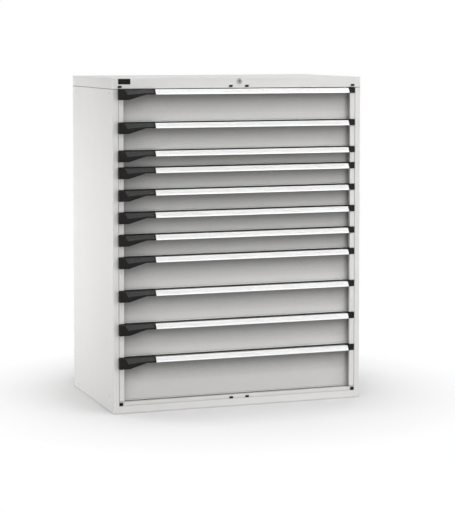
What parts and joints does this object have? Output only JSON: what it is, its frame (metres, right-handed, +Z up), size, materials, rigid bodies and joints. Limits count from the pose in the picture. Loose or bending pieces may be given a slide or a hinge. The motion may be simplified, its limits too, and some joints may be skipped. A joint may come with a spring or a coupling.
{
  "type": "drawer cabinet",
  "caption": "Upright workshop cabinet in light grey sheet steel with full-width drawers, aluminium handle rails, thumb levers and a central lock.",
  "frame": {"origin": "centre of the bounding box in plan, on the floor", "axes": "+X to the right seen from the front, +Y to the rear, +Z up; the drawers open towards -Y"},
  "size_m": [1.19, 0.721, 1.5],
  "materials": {
    "cabinet_paint": "fine textured powder coat",
    "drawer_paint": "fine textured powder coat",
    "zinc_plated_steel": "zinc plated",
    "glide_plastic": "smooth",
    "handle_aluminium": "clear anodised",
    "end_plastic": "fine grain",
    "lever_plastic": "fine grain",
    "trim_plastic": "satin",
    "lock_metal": "satin chrome"
  },
  "bodies": {
    "cabinet": {"side_panel_left": "cabinet_paint", "side_panel_right": "cabinet_paint", "rear_panel": "cabinet_paint", "top_cover": "cabinet_paint", "base_frame": "cabinet_paint", "uprights": "zinc_plated_steel", "runners": "zinc_plated_steel", "glide_strips": "glide_plastic", "plugs": "trim_plastic", "badge_plate": "trim_plastic", "lock_housing": "lock_metal", "bar_guides": "zinc_plated_steel"},
    "lock_cylinder": {"lock_cylinder": "lock_metal"},
    "lock_slider": {"lock_slider": "zinc_plated_steel"},
    "lock_crank": {"lock_crank": "zinc_plated_steel"},
    "locking_bar": {"locking_bar": "zinc_plated_steel"},
    "drawer_01": {"drawer_01": "drawer_paint", "handle_rail_01": "handle_aluminium", "handle_ends_01": "end_plastic"},
    "thumb_lever_01": {"thumb_lever_01": "lever_plastic"},
    "drawer_02": {"drawer_02": "drawer_paint", "handle_rail_02": "handle_aluminium", "handle_ends_02": "end_plastic"},
    "thumb_lever_02": {"thumb_lever_02": "lever_plastic"},
    "drawer_03": {"drawer_03": "drawer_paint", "handle_rail_03": "handle_aluminium", "handle_ends_03": "end_plastic"},
    "thumb_lever_03": {"thumb_lever_03": "lever_plastic"},
    "drawer_04": {"drawer_04": "drawer_paint", "handle_rail_04": "handle_aluminium", "handle_ends_04": "end_plastic"},
    "thumb_lever_04": {"thumb_lever_04": "lever_plastic"},
    "drawer_05": {"drawer_05": "drawer_paint", "handle_rail_05": "handle_aluminium", "handle_ends_05": "end_plastic"},
    "thumb_lever_05": {"thumb_lever_05": "lever_plastic"},
    "drawer_06": {"drawer_06": "drawer_paint", "handle_rail_06": "handle_aluminium", "handle_ends_06": "end_plastic"},
    "thumb_lever_06": {"thumb_lever_06": "lever_plastic"},
    "drawer_07": {"drawer_07": "drawer_paint", "handle_rail_07": "handle_aluminium", "handle_ends_07": "end_plastic"},
    "thumb_lever_07": {"thumb_lever_07": "lever_plastic"},
    "drawer_08": {"drawer_08": "drawer_paint", "handle_rail_08": "handle_aluminium", "handle_ends_08": "end_plastic"},
    "thumb_lever_08": {"thumb_lever_08": "lever_plastic"},
    "drawer_09": {"drawer_09": "drawer_paint", "handle_rail_09": "handle_aluminium", "handle_ends_09": "end_plastic"},
    "thumb_lever_09": {"thumb_lever_09": "lever_plastic"},
    "drawer_10": {"drawer_10": "drawer_paint", "handle_rail_10": "handle_aluminium", "handle_ends_10": "end_plastic"},
    "thumb_lever_10": {"thumb_lever_10": "lever_plastic"},
    "drawer_11": {"drawer_11": "drawer_paint", "handle_rail_11": "handle_aluminium", "handle_ends_11": "end_plastic"},
    "thumb_lever_11": {"thumb_lever_11": "lever_plastic"}
  },
  "joints": [
    {"name": "drawer_01_slide", "type": "slide", "parent": "cabinet", "child": "drawer_01", "axis": [0, -1, 0], "range_m": [0, 0.5]},
    {"name": "thumb_lever_01_press", "type": "hinge", "parent": "drawer_01", "child": "thumb_lever_01", "pos_m": [-0.485, -0.3345, 1.4448], "axis": [1, 0, 0], "range_deg": [0, 10], "stiffness_Nm_per_rad": 0.15, "springref_deg": -20.05},
    {"name": "drawer_02_slide", "type": "slide", "parent": "cabinet", "child": "drawer_02", "axis": [0, -1, 0], "range_m": [0, 0.5]},
    {"name": "thumb_lever_02_press", "type": "hinge", "parent": "drawer_02", "child": "thumb_lever_02", "pos_m": [-0.485, -0.3345, 1.2948], "axis": [1, 0, 0], "range_deg": [0, 10], "stiffness_Nm_per_rad": 0.15, "springref_deg": -20.05},
    {"name": "drawer_03_slide", "type": "slide", "parent": "cabinet", "child": "drawer_03", "axis": [0, -1, 0], "range_m": [0, 0.5]},
    {"name": "thumb_lever_03_press", "type": "hinge", "parent": "drawer_03", "child": "thumb_lever_03", "pos_m": [-0.485, -0.3345, 1.1698], "axis": [1, 0, 0], "range_deg": [0, 10], "stiffness_Nm_per_rad": 0.15, "springref_deg": -20.05},
    {"name": "drawer_04_slide", "type": "slide", "parent": "cabinet", "child": "drawer_04", "axis": [0, -1, 0], "range_m": [0, 0.5]},
    {"name": "thumb_lever_04_press", "type": "hinge", "parent": "drawer_04", "child": "thumb_lever_04", "pos_m": [-0.485, -0.3345, 1.0948], "axis": [1, 0, 0], "range_deg": [0, 10], "stiffness_Nm_per_rad": 0.15, "springref_deg": -20.05},
    {"name": "drawer_05_slide", "type": "slide", "parent": "cabinet", "child": "drawer_05", "axis": [0, -1, 0], "range_m": [0, 0.5]},
    {"name": "thumb_lever_05_press", "type": "hinge", "parent": "drawer_05", "child": "thumb_lever_05", "pos_m": [-0.485, -0.3345, 0.9948], "axis": [1, 0, 0], "range_deg": [0, 10], "stiffness_Nm_per_rad": 0.15, "springref_deg": -20.05},
    {"name": "drawer_06_slide", "type": "slide", "parent": "cabinet", "child": "drawer_06", "axis": [0, -1, 0], "range_m": [0, 0.5]},
    {"name": "thumb_lever_06_press", "type": "hinge", "parent": "drawer_06", "child": "thumb_lever_06", "pos_m": [-0.485, -0.3345, 0.8948], "axis": [1, 0, 0], "range_deg": [0, 10], "stiffness_Nm_per_rad": 0.15, "springref_deg": -20.05},
    {"name": "drawer_07_slide", "type": "slide", "parent": "cabinet", "child": "drawer_07", "axis": [0, -1, 0], "range_m": [0, 0.5]},
    {"name": "thumb_lever_07_press", "type": "hinge", "parent": "drawer_07", "child": "thumb_lever_07", "pos_m": [-0.485, -0.3345, 0.7948], "axis": [1, 0, 0], "range_deg": [0, 10], "stiffness_Nm_per_rad": 0.15, "springref_deg": -20.05},
    {"name": "drawer_08_slide", "type": "slide", "parent": "cabinet", "child": "drawer_08", "axis": [0, -1, 0], "range_m": [0, 0.5]},
    {"name": "thumb_lever_08_press", "type": "hinge", "parent": "drawer_08", "child": "thumb_lever_08", "pos_m": [-0.485, -0.3345, 0.6948], "axis": [1, 0, 0], "range_deg": [0, 10], "stiffness_Nm_per_rad": 0.15, "springref_deg": -20.05},
    {"name": "drawer_09_slide", "type": "slide", "parent": "cabinet", "child": "drawer_09", "axis": [0, -1, 0], "range_m": [0, 0.5]},
    {"name": "thumb_lever_09_press", "type": "hinge", "parent": "drawer_09", "child": "thumb_lever_09", "pos_m": [-0.485, -0.3345, 0.5448], "axis": [1, 0, 0], "range_deg": [0, 10], "stiffness_Nm_per_rad": 0.15, "springref_deg": -20.05},
    {"name": "drawer_10_slide", "type": "slide", "parent": "cabinet", "child": "drawer_10", "axis": [0, -1, 0], "range_m": [0, 0.5]},
    {"name": "thumb_lever_10_press", "type": "hinge", "parent": "drawer_10", "child": "thumb_lever_10", "pos_m": [-0.485, -0.3345, 0.3948], "axis": [1, 0, 0], "range_deg": [0, 10], "stiffness_Nm_per_rad": 0.15, "springref_deg": -20.05},
    {"name": "drawer_11_slide", "type": "slide", "parent": "cabinet", "child": "drawer_11", "axis": [0, -1, 0], "range_m": [0, 0.5]},
    {"name": "thumb_lever_11_press", "type": "hinge", "parent": "drawer_11", "child": "thumb_lever_11", "pos_m": [-0.485, -0.3345, 0.2448], "axis": [1, 0, 0], "range_deg": [0, 10], "stiffness_Nm_per_rad": 0.15, "springref_deg": -20.05},
    {"name": "lock_turn", "type": "hinge", "parent": "cabinet", "child": "lock_cylinder", "pos_m": [0, -0.3395, 1.483], "axis": [0, 1, 0], "range_deg": [0, 90]},
    {"name": "lock_slide", "type": "slide", "parent": "cabinet", "child": "lock_slider", "axis": [-1, 0, 0], "range_m": [0, 0.01698]},
    {"name": "crank_turn", "type": "hinge", "parent": "cabinet", "child": "lock_crank", "pos_m": [0.56228, -0.3025, 1.458], "axis": [0, -1, 0], "range_deg": [0, 50.22]},
    {"name": "bar_lift", "type": "slide", "parent": "cabinet", "child": "locking_bar", "axis": [0, 0, 1], "range_m": [0, 0.014]}
  ],
  "couplings": [
    {"joint": "lock_turn", "follows": "bar_lift", "rad_per_m": 112.2},
    {"joint": "lock_slide", "follows": "bar_lift", "ratio": 1.2122},
    {"joint": "crank_turn", "follows": "bar_lift", "rad_per_m": 62.592}
  ]
}
